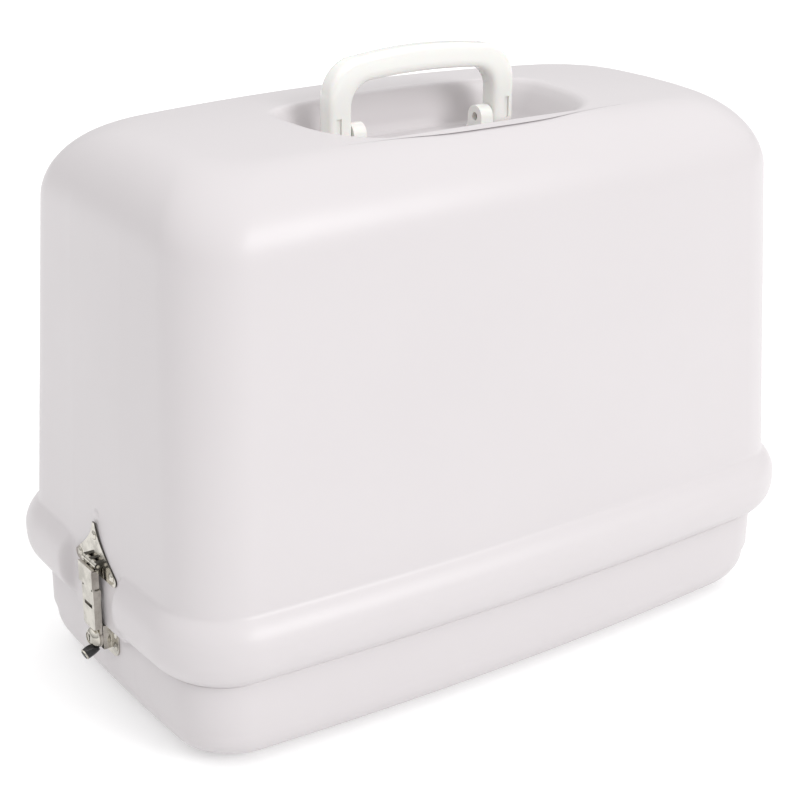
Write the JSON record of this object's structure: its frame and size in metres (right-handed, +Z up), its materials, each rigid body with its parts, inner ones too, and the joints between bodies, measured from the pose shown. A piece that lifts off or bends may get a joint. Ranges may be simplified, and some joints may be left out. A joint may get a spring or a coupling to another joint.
{
  "type": "sewing machine carrying case",
  "caption": "Hard moulded carrying case: tray, tall lift-off cover with rounded rim band, folding handle in an deep top recess, and keyed hasp latches on the ends.",
  "frame": {"origin": "on the resting surface, under the middle of the tray", "axes": "+X along the case's length towards the right latch, +Y from front to back, +Z up"},
  "size_m": [0.477, 0.2618, 0.3745],
  "materials": {
    "shell": "satin moulded, pale grey",
    "handle": "glossy white, slightly translucent",
    "nickel": "nickel plated pressed steel",
    "steel": "plain steel, hidden inside",
    "tab": "black dipped"
  },
  "bodies": {
    "base": {"base_tray": "shell", "keeper_plate_left": "nickel", "keeper_plate_right": "nickel", "keeper_rivets": "nickel", "keeper_backing_left": "steel", "keeper_backing_right": "steel"},
    "cover": {"cover_shell": "shell", "handle_block_left": "handle", "handle_block_right": "handle", "handle_pin_left": "nickel", "handle_pin_right": "nickel", "handle_backing_plate": "steel", "handle_screws": "nickel", "strike_plate_left": "nickel", "strike_plate_right": "nickel", "strike_rivets": "nickel", "strike_backing_left": "steel", "strike_backing_right": "steel", "hasp_pin_left": "nickel", "hasp_pin_right": "nickel"},
    "handle": {"handle_grip": "handle"},
    "hasp_left": {"hasp_link_left": "nickel"},
    "lever_left": {"hasp_lever_left": "nickel", "lever_pin_left": "nickel", "thumb_tab_left": "tab", "lock_rose_left": "nickel"},
    "lock_left": {"lock_plug_left": "nickel", "lock_cam_left": "steel"},
    "hasp_right": {"hasp_link_right": "nickel"},
    "lever_right": {"hasp_lever_right": "nickel", "lever_pin_right": "nickel", "thumb_tab_right": "tab", "lock_rose_right": "nickel"},
    "lock_right": {"lock_plug_right": "nickel", "lock_cam_right": "steel"}
  },
  "joints": [
    {"name": "cover_lift", "type": "slide", "parent": "base", "child": "cover", "axis": [0, 0, 1], "range_m": [0, 0.3]},
    {"name": "handle_fold", "type": "hinge", "parent": "cover", "child": "handle", "pos_m": [0, 0, 0.326], "axis": [1, 0, 0], "range_deg": [-40, 88]},
    {"name": "hasp_swing_left", "type": "hinge", "parent": "cover", "child": "hasp_left", "pos_m": [-0.2284, 0, 0.098], "axis": [0, 1, 0], "range_deg": [0, 120]},
    {"name": "lever_swing_left", "type": "hinge", "parent": "hasp_left", "child": "lever_left", "pos_m": [-0.229, 0, 0.0806], "axis": [0, 1, 0], "range_deg": [0, 60]},
    {"name": "lock_turn_left", "type": "hinge", "parent": "lever_left", "child": "lock_left", "pos_m": [-0.225, 0, 0.049], "axis": [-1, 0, 0], "range_deg": [0, 90]},
    {"name": "hasp_swing_right", "type": "hinge", "parent": "cover", "child": "hasp_right", "pos_m": [0.2284, 0, 0.098], "axis": [0, -1, 0], "range_deg": [0, 120]},
    {"name": "lever_swing_right", "type": "hinge", "parent": "hasp_right", "child": "lever_right", "pos_m": [0.229, 0, 0.0806], "axis": [0, -1, 0], "range_deg": [0, 60]},
    {"name": "lock_turn_right", "type": "hinge", "parent": "lever_right", "child": "lock_right", "pos_m": [0.225, 0, 0.049], "axis": [1, 0, 0], "range_deg": [0, 90]}
  ]
}
